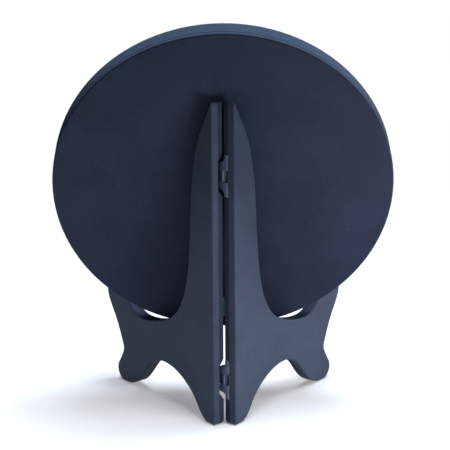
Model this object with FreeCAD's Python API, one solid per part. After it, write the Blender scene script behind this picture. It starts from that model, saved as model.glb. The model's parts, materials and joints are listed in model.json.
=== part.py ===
import FreeCAD, Part
import math
import os

# Round notice board standing in a folding two-leaf easel. Millimetres, +Z up.
# The display face looks along -Y and leans back. The two leaves of the easel meet
# at a vertical hinge behind the board and open like a V towards the viewer.
# Every leaf is drawn in its own plane: s runs from the spine end forwards, z is up,
# and n is the outward normal, counted from the hinge axis.

V = FreeCAD.Vector

# ---- driving dimensions: board ----
board_radius = 150.0
board_lean = 16.0            # degrees from upright
back_depth = 4.2             # depth of the back panel's rim
tray_depth = 16.0            # depth of the front tray's rim
sheet_thick = 0.8
rim_wall = 3.0
face_wall = 2.5
back_round = 1.7             # rounding of the back edge
seam_bevel = 0.5             # bevel on both sides of the rim seam
core_gap = 0.15
sheet_inset = 0.4            # the front sheet is this much smaller than the rim
label_width = 32.0
label_height = 21.0
label_thick = 0.3
label_up = 12.0              # label's lower edge above the board's lowest point

# ---- driving dimensions: leaf ----
leaf_angle = 38.0            # each open leaf, measured from straight ahead
stand_height = 295.0
outer_ply = 6.8
inner_ply = 4.7
edge_round = 1.4             # rounding of the leaf's outer edge
inner_edge_round = 0.4
seam_round = 0.35            # where the two plies meet
foot_round = 5.5             # rounding of the spine's foot towards the other leaf
heel_round = 3.0             # rounding of the heel's lower corner at the spine
heel_side_round = 2.6        # rounding of the heel's bottom towards the outside
seat_gap = 0.3               # between the board and what it rests on
spike_tip = ((0.0, 1.9), (1.3, 0.0), (3.0, 2.6))   # s, and depth below the stand's height
rest_s = 19.4                # the spike's width where the board leans on it
rest_drop = 33.0             # that place below the stand's height
spike_mid_s = 29.4           # the spike's width lower down
spike_mid_drop = 75.0
neck_s = 34.6                # the spike's width above the cradle
neck_z = 156.0
seat_z = 76.2                # height of the board's back edge in the cradle
# cradle, hook and bulge: s and z counted from the seat
cradle_heel = (-27.0, 12.3)
cradle_floor = (17.0, -3.3)
cradle_front = (34.0, -0.3)
hook_inner = (46.5, 13.8)
hook_top = ((55.0, 27.3), (63.5, 33.3), (72.0, 27.3))
bulge = (77.6, 10.8)
bulge_low = (65.0, -14.7)
# waist, toe and arch: s counted from the seat, z from the floor
waist = (54.6, 39.0)
toe_s = 52.2
toe_radius = 11.3
toe_turn = 34.5              # where the waist runs into the toe, degrees above level
arch_front = (21.0, 15.8)
arch_top_front = (1.0, 36.0)
arch_top = (-15.0, 39.0)
# the heel side of the arch: s counted from the spine
arch_top_back = (52.0, 34.4)
arch_back = (28.0, 17.0)
heel_low = (10.0, 0.0)

# ---- driving dimensions: hinge ----
hinge_heights = (42.8, 230.2)
pin_radius = 1.8
pin_length = 24.4
pin_fit = 0.03               # radial clearance of the pin in the lugs
eye_running = 0.1            # radial clearance of the pin in the hook eye
eye_wall = 1.2
eye_grip = 0.8               # how far the hook eye reaches past the pin's middle
fold_gap = 1.0               # between the inner faces when folded flat
axis_inset = 0.6             # hinge axis inside the lug leaf's inner ply
hook_setback = 1.2           # spine end of the hook leaf ahead of the axis
lug_wall = 0.8               # behind the pin, on the side away from the board
lug_reach = 6.2              # radius of the lug's nose about the pin
lug_edge_round = 0.4
lug_base = 37.0              # lug height at the ply, tapering to lug_knee and lug_nose
lug_knee = 25.0
lug_knee_n = -1.0            # where the steep slope ends
lug_nose = 22.4
window = 11.0                # opening between the upper and lower lug
arm_play = 0.5               # clearance of the hook arm above and below
arm_thick = 1.5
eye_relief = 0.45            # clearance around the turning eye
tang_length = 17.0           # lug bracket's tang in the inner ply
arm_tang_length = 12.0       # hook bracket's tang in the inner ply
notch_height = 39.0          # at the inner face, tapering to arm_tang_height at the seam
notch_depth = 8.0
arm_tang_height = 26.0

# ---- driving dimensions: screws ----
screw_radius = 1.5
screw_head = 2.9
screw_sink = 1.6
screw_bite = 5.0             # thread length in the outer ply
screw_play = 0.05
spine_screws = ((8.0, 27.0), (16.0, 145.0), (16.0, 211.0))   # s, and depth below the top
heel_screw = (12.0, 15.0)
front_screws = ((49.0, 14.0), (63.0, 84.0), (-15.0, 56.0))   # s from the seat, z

alpha = math.radians(leaf_angle)
lean = math.radians(board_lean)
board_thick = back_depth + tray_depth + sheet_thick
lug_inner_n = -axis_inset
hook_inner_n = fold_gap + axis_inset
lug_setback = hook_setback - (hook_inner_n - lug_inner_n) * math.tan(alpha)
eye_bore = pin_radius + eye_running
eye_radius = eye_bore + eye_wall
lug_back = pin_radius + lug_wall

# the board's back runs from the rest on the spike down to the seat in the cradle
rest_z = stand_height - rest_drop
back_slope = math.tan(lean) / math.cos(alpha)
back_at_rest = rest_s + seat_gap / math.cos(lean)
seat_s = back_at_rest + (rest_z - seat_z) * back_slope - seat_gap
plate_screws = ([(s, stand_height - drop) for s, drop in spine_screws] + [heel_screw]
                + [(seat_s + s, z) for s, z in front_screws])

# the spine's inner corners: half gap, middle and depth behind the hinge axis
hook_corner_x = hook_inner_n * math.cos(alpha) + hook_setback * math.sin(alpha)
lug_corner_x = -lug_inner_n * math.cos(alpha) - lug_setback * math.sin(alpha)
middle_x = (hook_corner_x + lug_corner_x) / 2
half_gap = (hook_corner_x - lug_corner_x) / 2
corner_y = hook_inner_n * math.sin(alpha) - hook_setback * math.cos(alpha)


def board_back_s(z):
    """Where the board's back plane crosses the leaf's inner face at height z."""
    return back_at_rest + (rest_z - z) * back_slope


def plane_point(s, z):
    return V(s, 0, z)


def arc(points):
    return Part.Arc(*[plane_point(s, z) for s, z in points]).toShape()


def line(a, b):
    return Part.LineSegment(plane_point(*a), plane_point(*b)).toShape()


def smooth(points, start, end):
    """A smooth curve through the points that leaves and arrives along two directions."""
    curve = Part.BSplineCurve()
    curve.interpolate(Points=[plane_point(*p) for p in points],
                      InitialTangent=plane_point(*start), FinalTangent=plane_point(*end))
    return curve.toShape()


def toe_point(angle):
    turn = math.radians(angle)
    return (seat_s + toe_s + toe_radius * math.cos(turn), toe_radius * (1 + math.sin(turn)))


def from_seat(points):
    return [(seat_s + s, seat_z + z) for s, z in points]


def ahead_of_seat(points):
    return [(seat_s + s, z) for s, z in points]


def leaf_face():
    """The leaf's outline as a face in the s-z plane."""
    tip = [(s, stand_height - drop) for s, drop in spike_tip]
    seat = (seat_s, seat_z - seat_gap)
    cradle = from_seat([cradle_floor, cradle_front, hook_inner])
    hook = from_seat(hook_top)
    toe = [toe_point(angle) for angle in (toe_turn, -30.0, -90.0)]
    turn = math.radians(toe_turn)
    heel_corner = (heel_round * (1 - math.sqrt(0.5)), heel_round * (1 - math.sqrt(0.5)))
    spike = [tip[2], (rest_s, rest_z), (spike_mid_s, stand_height - spike_mid_drop),
             (neck_s, neck_z)]
    front = spike + from_seat([cradle_heel]) + [seat] + cradle + [hook[0]]
    side = [hook[2]] + from_seat([bulge, bulge_low]) + ahead_of_seat([waist]) + [toe[0]]
    under = ([toe[2]] + ahead_of_seat([arch_front, arch_top_front, arch_top])
             + [arch_top_back, arch_back, heel_low])
    edges = [arc(tip),
             smooth(front, (0.55, -1.0), (0.75, 1.0)),
             arc(hook),
             smooth(side, (0.75, -1.0), (math.sin(turn), -math.cos(turn))),
             arc(toe),
             smooth(under, (-1.0, 0.0), (-1.0, -0.35)),
             line(heel_low, (heel_round, 0.0)),
             arc([(heel_round, 0.0), heel_corner, (0.0, heel_round)]),
             line((0.0, heel_round), tip[0])]
    return Part.Face(Part.Wire(edges))


class Leaf:
    """One leaf's own frame: side +1 for the hook leaf, -1 for the lug leaf."""

    def __init__(self, side, setback, inner_n):
        self.side = side
        self.setback = setback
        self.inner_n = inner_n
        self.mid_n = inner_n + inner_ply
        self.outer_n = self.mid_n + outer_ply

    def slab(self, face, n_from, n_to):
        """Extrude an s-z face between two depths."""
        solid = face.extrude(V(0, self.side * (n_to - n_from), 0))
        solid.translate(V(self.setback, self.side * n_from, 0))
        return solid

    def block(self, x_from, x_to, n_from, n_to, z_from, z_to):
        """A block between x, n and z limits, x counted from the hinge axis."""
        low_n = min(self.side * n_from, self.side * n_to)
        return Part.makeBox(x_to - x_from, abs(n_to - n_from), z_to - z_from,
                            V(x_from, low_n, z_from))

    def drill(self, radius, s, z, n_from, n_to):
        """A round rod across the leaf at s, z."""
        return Part.makeCylinder(radius, abs(n_to - n_from),
                                 V(self.setback + s, self.side * n_from, z),
                                 V(0, self.side * (1 if n_to > n_from else -1), 0))

    def cone(self, s, z, play):
        """The countersunk head's cone, flush with the inner face."""
        turn = self.side
        return Part.makeCone(screw_head + play, screw_radius + play, screw_sink,
                             V(self.setback + s, turn * self.inner_n, z), V(0, turn, 0))

    def screw(self, s, z, play):
        """A countersunk screw, or its hole when play is given."""
        rod = self.drill(screw_radius + play, s, z, self.inner_n, self.mid_n + screw_bite + play)
        return rod.fuse(self.cone(s, z, play)).removeSplitter()

    def place(self, shape):
        """Turn the leaf's own frame to its open position about the hinge axis."""
        shape = shape.copy()
        shape.rotate(V(0, 0, 0), V(0, 0, 1), -90 + self.side * leaf_angle)
        return shape


def round_face_edges(solid, n, side, radius):
    """Round the edges that lie in the face at depth n."""
    edges = [e for e in solid.Edges
             if all(abs(v.Point.y - side * n) < 1e-6 for v in e.Vertexes)
             and abs(e.BoundBox.YLength) < 1e-6]
    return solid.makeFillet(radius, edges)


def leaf_plates(leaf, screws, cuts):
    """The two plies of a leaf, drilled for the screws, with the hinge cuts in the inner one."""
    face = leaf_face()
    outer = leaf.slab(face, leaf.mid_n, leaf.outer_n)
    outer = round_face_edges(outer, leaf.outer_n, leaf.side, edge_round)
    outer = round_face_edges(outer, leaf.mid_n, leaf.side, seam_round)
    inner = leaf.slab(face, leaf.inner_n, leaf.mid_n)
    inner = round_face_edges(inner, leaf.inner_n, leaf.side, inner_edge_round)
    inner = round_face_edges(inner, leaf.mid_n, leaf.side, seam_round)
    for s, z in screws:
        hole = leaf.screw(s, z, screw_play)
        outer = outer.cut(hole)
        inner = inner.cut(hole)
    for cut in cuts:
        inner = inner.cut(cut)
    inner = inner.cut(foot_cut(leaf, leaf.inner_n, 1, foot_round))
    outer = outer.cut(foot_cut(leaf, leaf.outer_n, -1, heel_side_round))
    return outer, inner


def lug_bracket(leaf, height):
    """Two lugs with a window between them, on a tang let into the inner ply."""
    half = lug_base / 2
    nose_half = lug_nose / 2
    knee = (lug_knee_n, lug_knee / 2)
    nose = Part.makeCylinder(lug_reach, lug_base, V(0, 0, -half))
    nose = nose.common(leaf.block(-lug_back, lug_reach, -lug_reach, leaf.mid_n, -half, half))
    slope = [(leaf.mid_n, half), (leaf.mid_n, 2 * half), (-2 * lug_reach, 2 * half),
             (-lug_reach, nose_half), knee]
    for up in (1, -1):
        corners = [V(-2 * lug_reach, leaf.side * n, up * z) for n, z in slope]
        wedge = Part.Face(Part.makePolygon(corners + corners[:1]))
        nose = nose.cut(wedge.extrude(V(4 * lug_reach, 0, 0)))
    back_edges = [e for e in nose.Edges
                  if all(abs(v.Point.x + lug_back) < 1e-6 for v in e.Vertexes)]
    nose = nose.makeFillet(lug_edge_round, back_edges)
    gap = window / 2
    nose = nose.cut(leaf.block(-2 * lug_reach, 2 * lug_reach, -2 * lug_reach,
                               leaf.mid_n + 1, -gap, gap))
    tang = leaf.block(leaf.setback, tang_length, leaf.inner_n, leaf.mid_n, -half, half)
    tang = tang.cut(Part.makeCylinder(eye_radius + eye_relief, window, V(0, 0, -gap)))
    bracket = nose.fuse(tang)
    bore = Part.makeCylinder(pin_radius + pin_fit, pin_length, V(0, 0, -pin_length / 2))
    bracket = bracket.cut(bore).removeSplitter()
    bracket.translate(V(0, 0, height))
    return bracket


def hook_bracket(leaf, height):
    """The snap hook: an open eye round the pin, an arm and a tang let into the inner ply."""
    half = window / 2 - arm_play
    ring = Part.makeCylinder(eye_radius, 2 * half, V(0, 0, -half))
    start = leaf.setback + notch_depth
    arm = leaf.block(0, start + 1, leaf.inner_n, leaf.inner_n + arm_thick, -half, half)
    tang_half = arm_tang_height / 2
    tang = leaf.block(start, start + arm_tang_length, leaf.inner_n, leaf.mid_n,
                      -tang_half, tang_half)
    bracket = ring.fuse(arm).fuse(tang)
    bracket = bracket.cut(Part.makeCylinder(eye_bore, 2 * half, V(0, 0, -half)))
    mouth = leaf.block(-2 * eye_radius, -eye_grip, -2 * eye_radius, 2 * eye_radius, -half, half)
    bracket = bracket.cut(mouth).removeSplitter()
    bracket.translate(V(0, 0, height))
    return bracket


def hook_notch(leaf, height):
    """Room in the inner ply for the lugs, its ends sloping like theirs."""
    slant = (notch_height - arm_tang_height) / 2
    outside_n = leaf.inner_n - inner_ply
    corners = [(outside_n, notch_height / 2 + slant), (leaf.mid_n, arm_tang_height / 2)]
    corners += [(n, -z) for n, z in reversed(corners)]
    points = [V(-notch_depth, leaf.side * n, height + z) for n, z in corners]
    face = Part.Face(Part.makePolygon(points + points[:1]))
    return face.extrude(V(leaf.setback + 2 * notch_depth, 0, 0))


def hinge_pin(height):
    pin = Part.makeCylinder(pin_radius, pin_length, V(0, 0, height - pin_length / 2))
    ends = [e for e in pin.Edges if isinstance(e.Curve, Part.Circle)]
    return pin.makeChamfer(0.3, ends)


def foot_cut(leaf, n_face, inwards, r):
    """Rounds the heel's bottom edge below the face at n_face, inwards +1 or -1 from it."""
    block = leaf.block(leaf.setback - 1, leaf.setback + heel_low[0] + r,
                       n_face - inwards, n_face + inwards * r, -1, r)
    rod = Part.makeCylinder(r, heel_low[0] + 4 * r,
                            V(leaf.setback - 2 * r, leaf.side * (n_face + inwards * r), r),
                            V(1, 0, 0))
    return block.cut(rod)


def make_lug_leaf(parts):
    leaf = Leaf(-1, lug_setback, lug_inner_n)
    tang_screw_s = tang_length * 0.62
    tang_screws = [(tang_screw_s, h) for h in hinge_heights]
    cuts = [leaf.block(-tang_length, tang_length, leaf.inner_n - 1, leaf.mid_n,
                       h - lug_base / 2, h + lug_base / 2) for h in hinge_heights]
    screws = list(plate_screws) + tang_screws
    outer, inner = leaf_plates(leaf, screws, cuts)
    for h in hinge_heights:
        outer = outer.cut(Part.makeCylinder(eye_radius + eye_relief, window,
                                            V(0, 0, h - window / 2)))
    parts["lug_leaf_outer_plate"] = leaf.place(outer)
    parts["lug_leaf_inner_plate"] = leaf.place(inner)
    for name, h in zip(("lower", "upper"), hinge_heights):
        bracket = lug_bracket(leaf, h).cut(leaf.screw(tang_screw_s, h, screw_play))
        parts[name + "_lug_bracket"] = leaf.place(bracket)
        parts[name + "_hinge_pin"] = hinge_pin(h)
    parts["lug_leaf_screws"] = leaf.place(
        Part.makeCompound([leaf.screw(s, z, 0) for s, z in screws]))


def make_hook_leaf(parts):
    leaf = Leaf(1, hook_setback, hook_inner_n)
    tang_screw_s = notch_depth + arm_tang_length / 2
    tang_screws = [(tang_screw_s, h) for h in hinge_heights]
    cuts = []
    for h in hinge_heights:
        cuts.append(hook_notch(leaf, h))
        cuts.append(leaf.block(leaf.setback, leaf.setback + notch_depth + arm_tang_length,
                               leaf.inner_n - 1, leaf.mid_n,
                               h - arm_tang_height / 2, h + arm_tang_height / 2))
    screws = list(plate_screws) + tang_screws
    outer, inner = leaf_plates(leaf, screws, cuts)
    parts["hook_leaf_outer_plate"] = leaf.place(outer)
    parts["hook_leaf_inner_plate"] = leaf.place(inner)
    for name, h in zip(("lower", "upper"), hinge_heights):
        bracket = hook_bracket(leaf, h).cut(leaf.screw(tang_screw_s, h, screw_play))
        parts[name + "_hook_bracket"] = leaf.place(bracket)
    parts["hook_leaf_screws"] = leaf.place(
        Part.makeCompound([leaf.screw(s, z, 0) for s, z in screws]))


def disc(radius, z_from, z_to):
    return Part.makeCylinder(radius, z_to - z_from, V(0, 0, z_from))


def circle_edges(solid, radius, z):
    return [e for e in solid.Edges if isinstance(e.Curve, Part.Circle)
            and abs(e.Curve.Radius - radius) < 1e-6 and abs(e.Curve.Center.z - z) < 1e-6]


def place_board(shape):
    """Lean the board back and set it on the cradles and against the spikes."""
    seat_depth = board_back_s(seat_z) * math.cos(alpha)
    sideways = half_gap + board_back_s(seat_z) * math.sin(alpha)
    rise = math.sqrt(board_radius ** 2 - sideways ** 2)
    centre_z = seat_z + rise * math.cos(lean)
    centre_y = corner_y - seat_depth + rise * math.sin(lean)
    shape = shape.copy()
    shape.rotate(V(0, 0, 0), V(1, 0, 0), 90 - board_lean)
    shape.translate(V(middle_x, centre_y, centre_z))
    return shape


def make_board(parts):
    """The board lies flat first: its back at z = 0 and its display face on top."""
    seam = back_depth
    tray_top = seam + tray_depth
    back = disc(board_radius, 0, seam)
    back = back.makeFillet(back_round, circle_edges(back, board_radius, 0))
    back = back.makeChamfer(seam_bevel, circle_edges(back, board_radius, seam))
    back = back.cut(disc(board_radius - rim_wall, face_wall, seam + 1))
    tray = disc(board_radius, seam, tray_top)
    tray = tray.makeChamfer(seam_bevel, circle_edges(tray, board_radius, seam))
    tray = tray.cut(disc(board_radius - rim_wall, seam - 1, tray_top - face_wall))
    core = disc(board_radius - rim_wall - core_gap, face_wall + core_gap,
                tray_top - face_wall - core_gap)
    sheet = disc(board_radius - sheet_inset, tray_top, tray_top + sheet_thick)
    sheet = sheet.makeChamfer(sheet_thick / 3,
                              circle_edges(sheet, board_radius - sheet_inset, board_thick))
    label = Part.makeBox(label_width, label_height, label_thick,
                         V(-label_width / 2, label_up - board_radius, -label_thick))
    corners = [e for e in label.Edges if abs(e.BoundBox.ZLength - label_thick) < 1e-6]
    label = label.makeFillet(2.0, corners)
    for name, shape in (("board_back_panel", back), ("board_front_tray", tray),
                        ("board_core", core), ("board_front_sheet", sheet),
                        ("board_back_label", label)):
        parts[name] = place_board(shape)


def main():
    os.makedirs("parts", exist_ok=True)
    parts = {}
    make_board(parts)
    make_lug_leaf(parts)
    make_hook_leaf(parts)
    whole = Part.makeCompound(list(parts.values())).BoundBox
    origin = V(whole.Center.x, whole.Center.y, 0)
    print("hinge axis at", round(-origin.x, 4), round(-origin.y, 4))
    for name, shape in parts.items():
        shape = shape.copy()
        shape.translate(-origin)
        shape.exportStep("parts/" + name + ".step")
        print(name, len(shape.Solids), round(shape.Volume / 1000, 2), shape.isValid())


main()
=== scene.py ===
import json
import math

import bpy
from mathutils import Matrix, Vector


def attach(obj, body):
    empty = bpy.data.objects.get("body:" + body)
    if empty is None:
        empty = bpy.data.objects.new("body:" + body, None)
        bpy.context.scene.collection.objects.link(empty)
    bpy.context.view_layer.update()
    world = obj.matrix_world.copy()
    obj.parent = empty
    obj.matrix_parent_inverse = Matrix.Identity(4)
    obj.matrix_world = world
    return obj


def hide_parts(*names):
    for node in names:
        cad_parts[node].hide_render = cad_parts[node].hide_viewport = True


# A round notice board in a folding two-leaf easel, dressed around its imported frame.
# Metres, +Z up. The display face looks along -Y; the easel's hinge is at +Y.

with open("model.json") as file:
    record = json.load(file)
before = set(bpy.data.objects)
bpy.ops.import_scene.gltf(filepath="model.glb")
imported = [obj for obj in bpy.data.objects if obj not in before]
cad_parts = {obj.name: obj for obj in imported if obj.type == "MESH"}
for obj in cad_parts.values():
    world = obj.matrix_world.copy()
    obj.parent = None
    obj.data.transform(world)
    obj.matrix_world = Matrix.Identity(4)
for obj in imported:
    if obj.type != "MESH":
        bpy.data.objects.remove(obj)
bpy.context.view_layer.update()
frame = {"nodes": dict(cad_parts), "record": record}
nodes = frame["nodes"]

MM = 0.001

# ---- camera and light ----
CAMERA_TARGET = Vector((-0.0016, 0.0, 0.1687))
CAMERA_DISTANCE = 1.4346
CAMERA_AZIMUTH = 0.295          # degrees off the +Y axis, towards +X
CAMERA_ELEVATION = 16.68
CAMERA_ROLL = -0.36
CAMERA_LENS = 127.04
SENSOR_WIDTH = 36.0             # millimetres, as the lens is

SKY_BLUE = (0.86, 1.00, 1.18)
NEUTRAL = (1.0, 1.0, 1.0)

# name, place, size, watts, colour
LIGHTS = (
    ("window_behind", (-1.7, -0.7, 0.35), 1.0, 33.0, SKY_BLUE),
    ("fill_behind", (1.7, -0.7, 0.35), 1.0, 1.5, SKY_BLUE),
    ("overhead", (-0.2, 0.1, 2.2), 1.4, 52.0, SKY_BLUE),
    ("low_window", (-0.36, 0.34, 0.03), 0.24, 4.3, NEUTRAL),
    ("low_fill", (0.30, 0.26, 0.03), 0.24, 0.85, NEUTRAL),
)
LIGHT_TARGET = (0.0, 0.0, 0.15)
SKY_SEEN = (0.995, 0.997, 1.000)     # behind everything, as the camera sees it
SKY_LIGHT = (0.015, 0.016, 0.017)    # what the same sky adds to the light
FLOOR_NEAR = 0.28                    # the floor starts to fade into the sky here
FLOOR_FADE = 0.55                    # and takes this far to fade
FLOOR_GLOW = 0.18
FLOOR_RADIUS = 14.0
FLOOR_DROP = 0.2 * MM                # keeps the floor clear of the feet
FLOOR_TONES = ((0.92, 0.865, 0.82), (0.94, 0.885, 0.84))

# ---- colours (linear) ----
BOARD_DARK = (0.0084, 0.0120, 0.0262)
BOARD_PALE = (0.0109, 0.0153, 0.0322)
STAND_DARK = (0.0186, 0.0253, 0.0435)
STAND_PALE = (0.0237, 0.0318, 0.0528)
# painted shade: a darker copy of the stand colours for the inner plies, standing in for the
# shadow between the leaves
INNER_PAINTED_SHADE_DARK = (0.0068, 0.0105, 0.0240)
INNER_PAINTED_SHADE_PALE = (0.0088, 0.0135, 0.0300)
# painted light: a lighter copy of the stand colours for the hinge lugs, standing in for the
# light on their faces
HINGE_PAINTED_LIGHT_DARK = (0.0340, 0.0480, 0.0800)
HINGE_PAINTED_LIGHT_PALE = (0.0440, 0.0620, 0.1000)
# light specks and dust, also used as painted light from above on faces that look up
DUST_AND_TOP_LIGHT = (0.130, 0.165, 0.235)
# wear colour for scratches and worn edges, also used as a painted highlight along edges
WEAR_AND_EDGE_HIGHLIGHT = (0.100, 0.130, 0.180)
STEEL = (0.062, 0.078, 0.112)
SCREW_STEEL = (0.110, 0.115, 0.125)
BLACKENED = (0.045, 0.048, 0.055)
CHALK_GREEN = (0.022, 0.060, 0.038)
CHALK_HAZE = (0.090, 0.135, 0.110)
LABEL_GREEN = (0.110, 0.580, 0.100)
LABEL_PALE = (0.150, 0.660, 0.140)
LABEL_PAPER = (0.550, 0.600, 0.520)
CARD = (0.330, 0.220, 0.120)
CARD_DARK = (0.230, 0.145, 0.075)


class Socket:
    """A shader value. Arithmetic on it adds the Math nodes that work it out."""

    def __init__(self, finish, link):
        self.finish = finish
        self.link = link

    def maths(self, operation, *values):
        return self.finish.node("ShaderNodeMath", {"operation": operation},
                                dict(enumerate(values)))

    def __add__(self, other):
        return self.maths("ADD", self, other)

    def __sub__(self, other):
        return self.maths("SUBTRACT", self, other)

    def __rsub__(self, other):
        return self.maths("SUBTRACT", other, self)

    def __mul__(self, other):
        return self.maths("MULTIPLY", self, other)

    def above(self, edge, width):
        """0 below edge, 1 above edge + width, smooth between."""
        return self.finish.node("ShaderNodeMapRange", {"interpolation_type": "SMOOTHSTEP"},
                                {"Value": self, "From Min": edge, "From Max": edge + width})

    __radd__ = __add__
    __rmul__ = __mul__


class Finish:
    """One material on Object coordinates, built node by node."""

    def __init__(self, name):
        self.material = bpy.data.materials.new(name)
        self.material.use_nodes = True
        self.tree = self.material.node_tree
        self.shader = self.tree.nodes["Principled BSDF"]
        self.place = self.node("ShaderNodeTexCoord", {}, {}, "Object")

    def node(self, kind, settings, values, output=0):
        made = self.tree.nodes.new(kind)
        for name, setting in settings.items():
            setattr(made, name, setting)
        self.feed(made, values)
        return Socket(self, made.outputs[output])

    def feed(self, target, values):
        for name, value in values.items():
            if isinstance(value, Socket):
                self.tree.links.new(value.link, target.inputs[name])
            elif isinstance(value, tuple) and len(target.inputs[name].default_value) == 4:
                target.inputs[name].default_value = (*value, 1.0)
            else:
                target.inputs[name].default_value = value

    def noise(self, scale, detail=2.0, rough=0.5, place=None):
        return self.node("ShaderNodeTexNoise", {},
                         {"Vector": place or self.place, "Scale": scale, "Detail": detail,
                          "Roughness": rough})

    def stretched(self, factors):
        return self.node("ShaderNodeMapping", {}, {"Vector": self.place, "Scale": factors})

    def colour(self, share, low, high):
        """A mix of two colours."""
        made = self.tree.nodes.new("ShaderNodeMix")
        made.data_type = "RGBA"
        colours = [s for s in made.inputs if s.type == "RGBA"]
        factor = [s for s in made.inputs if s.type == "VALUE"][0]
        for socket, value in ((factor, share), (colours[0], low), (colours[1], high)):
            if isinstance(value, Socket):
                self.tree.links.new(value.link, socket)
            elif isinstance(value, tuple):
                socket.default_value = (*value, 1.0)
            else:
                socket.default_value = value
        result = [s for s in made.outputs if s.type == "RGBA"][0]
        return Socket(self, result)

    def facing(self, direction):
        """How far the surface faces a direction, from -1 to 1."""
        normal = self.node("ShaderNodeNewGeometry", {}, {}, "Normal")
        return self.node("ShaderNodeVectorMath", {"operation": "DOT_PRODUCT"},
                         {0: normal, 1: direction}, "Value")

    def edge(self, radius):
        """Close to 1 on a sharp edge and 0 on a flat face."""
        true = self.node("ShaderNodeNewGeometry", {}, {}, "Normal")
        soft = self.node("ShaderNodeBevel", {"samples": 6}, {"Radius": radius})
        same = self.node("ShaderNodeVectorMath", {"operation": "DOT_PRODUCT"},
                         {0: true, 1: soft}, "Value")
        return (1 - same).above(0.02, width=0.20)

    def bump(self, height, strength, distance):
        return self.node("ShaderNodeBump", {}, {"Height": height, "Strength": strength,
                                                "Distance": distance})

    def finished(self, **values):
        """Sets the shader's sockets; underscores in a name stand for spaces."""
        self.feed(self.shader, {name.replace("_", " "): value for name, value in values.items()})
        return self.material


def moulded(name, dark, pale, grain, roughness, shine, dust_and_top_light, edge_wear_and_highlight):
    """Matt moulded plastic: cloudy tone, fine grain, light specks, lighter edges, dust, and
    faces that look up made lighter.

    The last argument scales the lightening on edges, which is partly wear and partly a painted
    edge highlight; the one before it scales the lightening on faces that look up, which is
    partly dust and partly painted light from above.
    """
    f = Finish(name)
    clouds = f.noise(26.0, detail=4.0, rough=0.6)
    flecks = f.noise(1150.0, detail=2.0, rough=0.5)
    tone = f.colour(clouds.above(0.32, width=0.36), dark, pale)
    tone = f.colour(flecks.above(0.62, width=0.10) * 0.13, tone, DUST_AND_TOP_LIGHT)
    uneven_edges = f.noise(60.0, detail=3.0, rough=0.6).above(0.44, width=0.2)
    # edges lighten towards the wear colour: partly worn edges, partly a painted highlight along
    # them
    tone = f.colour(f.edge(0.9 * MM) * (uneven_edges * 0.35 + 0.20) * edge_wear_and_highlight, tone, WEAR_AND_EDGE_HIGHLIGHT)
    upright = f.stretched((9.0, 9.0, 0.7))
    scratches = f.noise(38.0, detail=3.0, rough=0.7, place=upright).above(0.70, width=0.05)
    tone = f.colour(scratches * 0.18, tone, WEAR_AND_EDGE_HIGHLIGHT)
    # faces that look up lighten towards the dust colour: dust motes plus an even painted light
    # from above
    lying = f.facing((0.0, 0.0, 1.0)).above(0.25, width=0.6)
    motes = f.noise(420.0, detail=3.0, rough=0.6).above(0.56, width=0.16)
    tone = f.colour(lying * (motes * 0.10 + 0.11) * dust_and_top_light, tone, DUST_AND_TOP_LIGHT)
    fine = f.noise(1900.0, detail=3.0, rough=0.6)
    coarse = f.noise(620.0, detail=2.0, rough=0.5)
    normal = f.bump(fine * 0.65 + coarse * 0.35, strength=grain, distance=0.16 * MM)
    gloss = clouds * 0.10 + (roughness - 0.05) + lying * 0.1 - scratches * 0.08
    return f.finished(Base_Color=tone, Roughness=gloss, Normal=normal, Specular_IOR_Level=shine)


def metal(name, colour, tarnish, roughness, across):
    """Drawn steel with fine lines around the bar and a darker tarnish."""
    f = Finish(name)
    lines = f.noise(900.0, detail=2.0, rough=0.6, place=f.stretched(across))
    stain = f.noise(700.0, detail=3.0, rough=0.6).above(0.45, width=0.2)
    tone = f.colour(stain * 0.6, colour, tarnish)
    normal = f.bump(lines, strength=0.25, distance=0.05 * MM)
    return f.finished(Base_Color=tone, Roughness=stain * 0.15 + roughness, Normal=normal,
                      Metallic=1.0)


def writing_face(name):
    """Satin chalk-green sheet with the haze that wiping leaves."""
    f = Finish(name)
    swirl = f.noise(11.0, detail=5.0, rough=0.62, place=f.stretched((1.0, 1.0, 2.2)))
    haze = swirl.above(0.42, width=0.35)
    level = f.stretched((1.0, 1.0, 7.0))
    wipes = f.noise(30.0, detail=4.0, rough=0.7, place=level).above(0.5, width=0.3)
    tone = f.colour(haze * 0.35 + wipes * 0.10, CHALK_GREEN, CHALK_HAZE)
    powder = f.noise(1500.0, detail=2.0, rough=0.5).above(0.6, width=0.12)
    tone = f.colour(powder * haze * 0.35, tone, LABEL_PAPER)
    normal = f.bump(f.noise(2400.0, detail=2.0, rough=0.5), strength=0.18, distance=0.08 * MM)
    return f.finished(Base_Color=tone, Roughness=haze * 0.15 + 0.46, Normal=normal,
                      Specular_IOR_Level=0.4)


def sticker(name):
    """Printed paper label: a plain green field with paper fibres."""
    f = Finish(name)
    fibres = f.noise(500.0, detail=5.0, rough=0.7, place=f.stretched((1.0, 1.0, 0.5)))
    tone = f.colour(fibres.above(0.35, width=0.4) * 0.5, LABEL_GREEN, LABEL_PALE)
    worn = f.edge(0.5 * MM) * f.noise(300.0, detail=2.0, rough=0.6).above(0.4, width=0.2)
    tone = f.colour(worn * 0.7, tone, LABEL_PAPER)
    normal = f.bump(fibres, strength=0.2, distance=0.06 * MM)
    return f.finished(Base_Color=tone, Roughness=fibres * 0.2 + 0.5, Normal=normal,
                      Specular_IOR_Level=0.3)


def card(name):
    """Grey-brown board stock with pressed fibres."""
    f = Finish(name)
    fibres = f.noise(260.0, detail=6.0, rough=0.7, place=f.stretched((0.4, 1.0, 1.6)))
    tone = f.colour(fibres.above(0.3, width=0.45), CARD_DARK, CARD)
    normal = f.bump(fibres, strength=0.5, distance=0.2 * MM)
    return f.finished(Base_Color=tone, Roughness=fibres * 0.1 + 0.82, Normal=normal,
                      Specular_IOR_Level=0.2)


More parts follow.
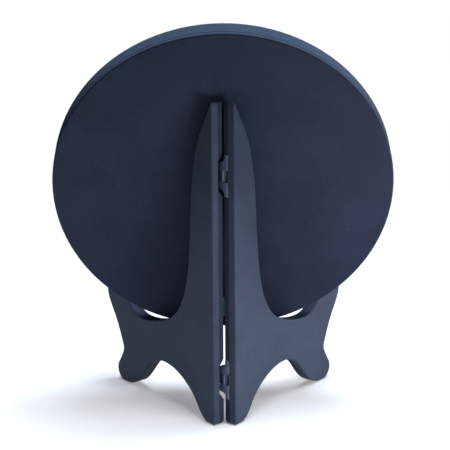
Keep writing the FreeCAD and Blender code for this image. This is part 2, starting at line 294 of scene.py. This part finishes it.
stand_plastic = moulded("stand_plastic_grained", STAND_DARK, STAND_PALE,
                        grain=0.34, roughness=0.60, shine=0.10, dust_and_top_light=1.0, edge_wear_and_highlight=1.0)
# the hinge finish is the stand plastic lightened, as painted light on the lugs, with strong edge
# lightening as a painted edge highlight
hinge_plastic = moulded("hinge_plastic_painted_light", HINGE_PAINTED_LIGHT_DARK, HINGE_PAINTED_LIGHT_PALE,
                        grain=0.22, roughness=0.50, shine=0.15, dust_and_top_light=1.0, edge_wear_and_highlight=2.4)
# the inner plies' finish is the stand plastic darkened: painted shade
inner_plastic_painted_shade = moulded("stand_plastic_inner_ply_painted_shade", INNER_PAINTED_SHADE_DARK, INNER_PAINTED_SHADE_PALE,
                        grain=0.34, roughness=0.62, shine=0.10, dust_and_top_light=1.0, edge_wear_and_highlight=0.6)
# the board's upward faces, the rim top most of all, get three times that lightening: dust plus
# painted light from above
board_plastic = moulded("board_plastic_grained", BOARD_DARK, BOARD_PALE,
                        grain=0.30, roughness=0.62, shine=0.08, dust_and_top_light=3.0, edge_wear_and_highlight=0.8)
pin_steel = metal("pin_steel_drawn", STEEL, BLACKENED, 0.72, (1.0, 1.0, 9.0))
screw_steel = metal("screw_steel_black", SCREW_STEEL, BLACKENED, 0.38, (1.0, 1.0, 1.0))

FINISHES = {"stand_plastic": stand_plastic, "hinge_plastic": hinge_plastic,
            "board_plastic": board_plastic, "pin_steel": pin_steel,
            "screw_steel": screw_steel, "display_sheet": writing_face("display_sheet_wiped"),
            "label_paper": sticker("label_paper_printed"), "core_board": card("core_card")}


def dress(piece, material):
    piece.data.materials.clear()
    piece.data.materials.append(material)


for row in frame["record"]["subparts"]:
    dress(nodes[row["node"]], FINISHES[row["material_slot"]])
# the inner plies get the darkened copy of the stand plastic: painted shade for the groove
# between the leaves
for leaf in ("lug_leaf", "hook_leaf"):
    dress(nodes[leaf + "_inner_plate"], inner_plastic_painted_shade)


# ---- screws: one is modelled, then copied to each hole ----
SCREW_HEAD = 2.9 * MM           # radius of the head's face
SCREW_SHANK = 1.5 * MM          # radius of the shank
SCREW_SINK = 1.6 * MM           # height of the whole head
HEAD_RIM = 0.20 * MM            # straight side of the head
HEAD_BEVEL = 0.05 * MM
HEAD_BEVEL_SHRINK = 0.95
POINT_LENGTH = 0.9 * MM
POINT_SHRINK = 0.3
CROSS_LENGTH = 3.2 * MM
CROSS_WIDTH = 0.72 * MM
CROSS_DEPTH = 1.1 * MM
CROSS_TAPER = 0.35
TURN_PER_SCREW = 0.9            # radians from one screw's cross to the next
UP = 0.9                        # a face with a larger normal along an axis looks that way
SHELL_MESH = 0.002 * MM         # vertices closer than this are one
FACE_DEPTH = 0.05 * MM          # vertices this near the lowest one are the head's face


def only(piece):
    bpy.ops.object.select_all(action="DESELECT")
    piece.select_set(True)
    bpy.context.view_layer.objects.active = piece


def pick_faces(piece, test):
    """Selects the faces that pass a test, and goes to edit mode."""
    only(piece)
    bpy.ops.object.mode_set(mode="EDIT")
    bpy.ops.mesh.select_mode(type="FACE")
    bpy.ops.mesh.select_all(action="DESELECT")
    bpy.ops.object.mode_set(mode="OBJECT")
    for face in piece.data.polygons:
        face.select = test(face)
    bpy.ops.object.mode_set(mode="EDIT")


def done(piece):
    """Turns the normals outward, and goes back to object mode."""
    only(piece)
    bpy.ops.object.mode_set(mode="EDIT")
    bpy.ops.mesh.select_all(action="SELECT")
    bpy.ops.mesh.normals_make_consistent(inside=False)
    bpy.ops.object.mode_set(mode="OBJECT")
    return piece


def extrude(rise):
    bpy.ops.mesh.extrude_region_move(TRANSFORM_OT_translate={"value": (0.0, 0.0, rise)})


def shrink(factor):
    """Scales the picked faces towards the Z axis, or away from it if factor is above 1."""
    bpy.ops.transform.resize(value=(factor, factor, 1.0), center_override=(0.0, 0.0, 0.0))


def cross_bit():
    """The driver's cross, which cuts the recess."""
    bars = []
    for turn in (0.0, math.pi / 2):
        bpy.ops.mesh.primitive_cube_add(size=1.0)
        bar = bpy.context.active_object
        bar.scale = (CROSS_LENGTH, CROSS_WIDTH, 2 * CROSS_DEPTH)
        bar.rotation_euler = (0.0, 0.0, turn)
        only(bar)
        bpy.ops.object.transform_apply(location=True, rotation=True, scale=True)
        pick_faces(bar, lambda face: face.normal.z < -UP)
        shrink(CROSS_TAPER)
        bpy.ops.object.mode_set(mode="OBJECT")
        bars.append(done(bar))
    return bars


def countersunk_screw(length):
    """A countersunk cross-head screw: head face at z = 0, point towards -Z."""
    shank_length = length - SCREW_SINK - POINT_LENGTH
    bpy.ops.mesh.primitive_cylinder_add(vertices=40, radius=SCREW_SHANK, depth=shank_length,
                                        location=(0.0, 0.0, -SCREW_SINK - shank_length / 2))
    screw = bpy.context.active_object
    only(screw)
    bpy.ops.object.transform_apply(location=True, rotation=True, scale=True)
    pick_faces(screw, lambda face: face.normal.z > UP)
    extrude(SCREW_SINK - HEAD_RIM - HEAD_BEVEL)
    shrink(SCREW_HEAD / SCREW_SHANK)
    extrude(HEAD_RIM)
    extrude(HEAD_BEVEL)
    shrink(HEAD_BEVEL_SHRINK)
    bpy.ops.object.mode_set(mode="OBJECT")
    pick_faces(screw, lambda face: face.normal.z < -UP)
    extrude(-POINT_LENGTH)
    shrink(POINT_SHRINK)
    bpy.ops.object.mode_set(mode="OBJECT")
    done(screw)
    for bar in cross_bit():
        cut = screw.modifiers.new("recess", "BOOLEAN")
        cut.operation = "DIFFERENCE"
        cut.object = bar
        cut.solver = "EXACT"
        only(screw)
        bpy.ops.object.modifier_apply(modifier=cut.name)
        bpy.data.objects.remove(bar)
    return screw


def screw_places(node, outward):
    """Head centres and length of the screws in a CAD node, from its separate shells."""
    mesh = nodes[node].data
    parent = list(range(len(mesh.vertices)))

    def root(i):
        while parent[i] != i:
            parent[i] = parent[parent[i]]
            i = parent[i]
        return i

    seen = {}
    for vertex in mesh.vertices:
        key = tuple(round(c / SHELL_MESH) for c in vertex.co)
        parent[vertex.index] = seen.setdefault(key, vertex.index)
    for edge in mesh.edges:
        a, b = (root(i) for i in edge.vertices)
        parent[a] = b
    shells = {}
    for vertex in mesh.vertices:
        shells.setdefault(root(vertex.index), []).append(vertex.co)
    heads = []
    for points in shells.values():
        lowest = min(p.dot(outward) for p in points)
        length = max(p.dot(outward) for p in points) - lowest
        face = [p for p in points if p.dot(outward) - lowest < FACE_DEPTH]
        sides = [[min(p[i] for p in face), max(p[i] for p in face)] for i in range(3)]
        heads.append(Vector([(low + high) / 2 for low, high in sides]))
    return sorted(heads, key=lambda p: (round(p.z, 4), round(p.x, 4))), length


LEAF_ANGLE = math.radians(38.0)     # each open leaf, from straight ahead
HOOK_OUTWARD = Vector((math.cos(LEAF_ANGLE), math.sin(LEAF_ANGLE), 0.0))
LUG_OUTWARD = Vector((-math.cos(LEAF_ANGLE), math.sin(LEAF_ANGLE), 0.0))

for leaf, outward in (("lug_leaf", LUG_OUTWARD), ("hook_leaf", HOOK_OUTWARD)):
    heads, length = screw_places(leaf + "_screws", outward)
    pattern = countersunk_screw(length)
    turned = (-outward).to_track_quat("Z", "Y").to_matrix().to_4x4()
    copies = []
    for number, head in enumerate(heads):
        copy = pattern.copy()
        copy.data = pattern.data.copy()
        bpy.context.scene.collection.objects.link(copy)
        twist = Matrix.Rotation(TURN_PER_SCREW * number, 4, "Z")
        copy.data.transform(Matrix.Translation(head) @ turned @ twist)
        copies.append(copy)
    bpy.data.objects.remove(pattern)
    only(copies[0])
    for copy in copies:
        copy.select_set(True)
    bpy.ops.object.join()
    screws = bpy.context.active_object
    screws.name = leaf + "_cross_head_screws"
    only(screws)
    bpy.ops.object.shade_smooth_by_angle(angle=math.radians(30.0))
    dress(screws, screw_steel)
    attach(screws, leaf)
    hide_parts(leaf + "_screws")


# ---- stage ----
def make_floor():
    bpy.ops.object.select_all(action="DESELECT")
    bpy.ops.mesh.primitive_circle_add(vertices=96, radius=FLOOR_RADIUS, fill_type="NGON",
                                      location=(0.0, 0.0, -FLOOR_DROP))
    floor = bpy.context.active_object
    floor.name = "floor"
    f = Finish("floor_pale")
    cloud = f.noise(3.0, detail=2.0, rough=0.5)
    f.finished(Base_Color=f.colour(cloud, *FLOOR_TONES),
               Roughness=0.9, Specular_IOR_Level=0.1, Emission_Color=(1.0, 1.0, 1.0),
               Emission_Strength=FLOOR_GLOW)
    from_middle = f.node("ShaderNodeVectorMath", {"operation": "LENGTH"}, {0: f.place}, "Value")
    clear = f.node("ShaderNodeBsdfTransparent", {}, {})
    surface = f.node("ShaderNodeMixShader", {},
                     {0: from_middle.above(FLOOR_NEAR, FLOOR_FADE),
                      1: Socket(f, f.shader.outputs[0]), 2: clear})
    f.feed(f.tree.nodes["Material Output"], {"Surface": surface})
    dress(floor, f.material)


def make_light(name, place, size, power, colour):
    bpy.ops.object.light_add(type="AREA", location=place)
    light = bpy.context.active_object
    light.name = name
    light.data.shape = "DISK"
    light.data.size = size
    light.data.energy = power
    light.data.color = colour
    light.visible_camera = False
    aim = Vector(LIGHT_TARGET) - Vector(place)
    light.rotation_euler = aim.to_track_quat("-Z", "Y").to_euler()


def make_sky():
    """A pale sky behind the floor, which adds only a little light of its own."""
    world = bpy.data.worlds.new("studio")
    bpy.context.scene.world = world
    world.use_nodes = True
    tree = world.node_tree
    rays = tree.nodes.new("ShaderNodeLightPath")
    both = tree.nodes.new("ShaderNodeMixShader")
    for slot, colour in ((1, SKY_LIGHT), (2, SKY_SEEN)):
        background = tree.nodes.new("ShaderNodeBackground")
        background.inputs["Color"].default_value = (*colour, 1.0)
        tree.links.new(background.outputs[0], both.inputs[slot])
    tree.links.new(rays.outputs["Is Camera Ray"], both.inputs[0])
    tree.links.new(both.outputs[0], tree.nodes["World Output"].inputs["Surface"])


def make_camera():
    azimuth, elevation = math.radians(CAMERA_AZIMUTH), math.radians(CAMERA_ELEVATION)
    back = Vector((math.sin(azimuth) * math.cos(elevation),
                   math.cos(azimuth) * math.cos(elevation), math.sin(elevation)))
    bpy.ops.object.camera_add(location=CAMERA_TARGET + CAMERA_DISTANCE * back)
    camera = bpy.context.active_object
    turn = (-back).to_track_quat("-Z", "Y").to_matrix()
    turn = turn @ Matrix.Rotation(math.radians(CAMERA_ROLL), 3, "Z")
    camera.rotation_euler = turn.to_euler()
    camera.data.sensor_width = SENSOR_WIDTH
    camera.data.lens = CAMERA_LENS
    bpy.context.scene.camera = camera


make_floor()
make_sky()
for light in LIGHTS:
    make_light(*light)
make_camera()
bpy.context.scene.view_settings.view_transform = "Standard"
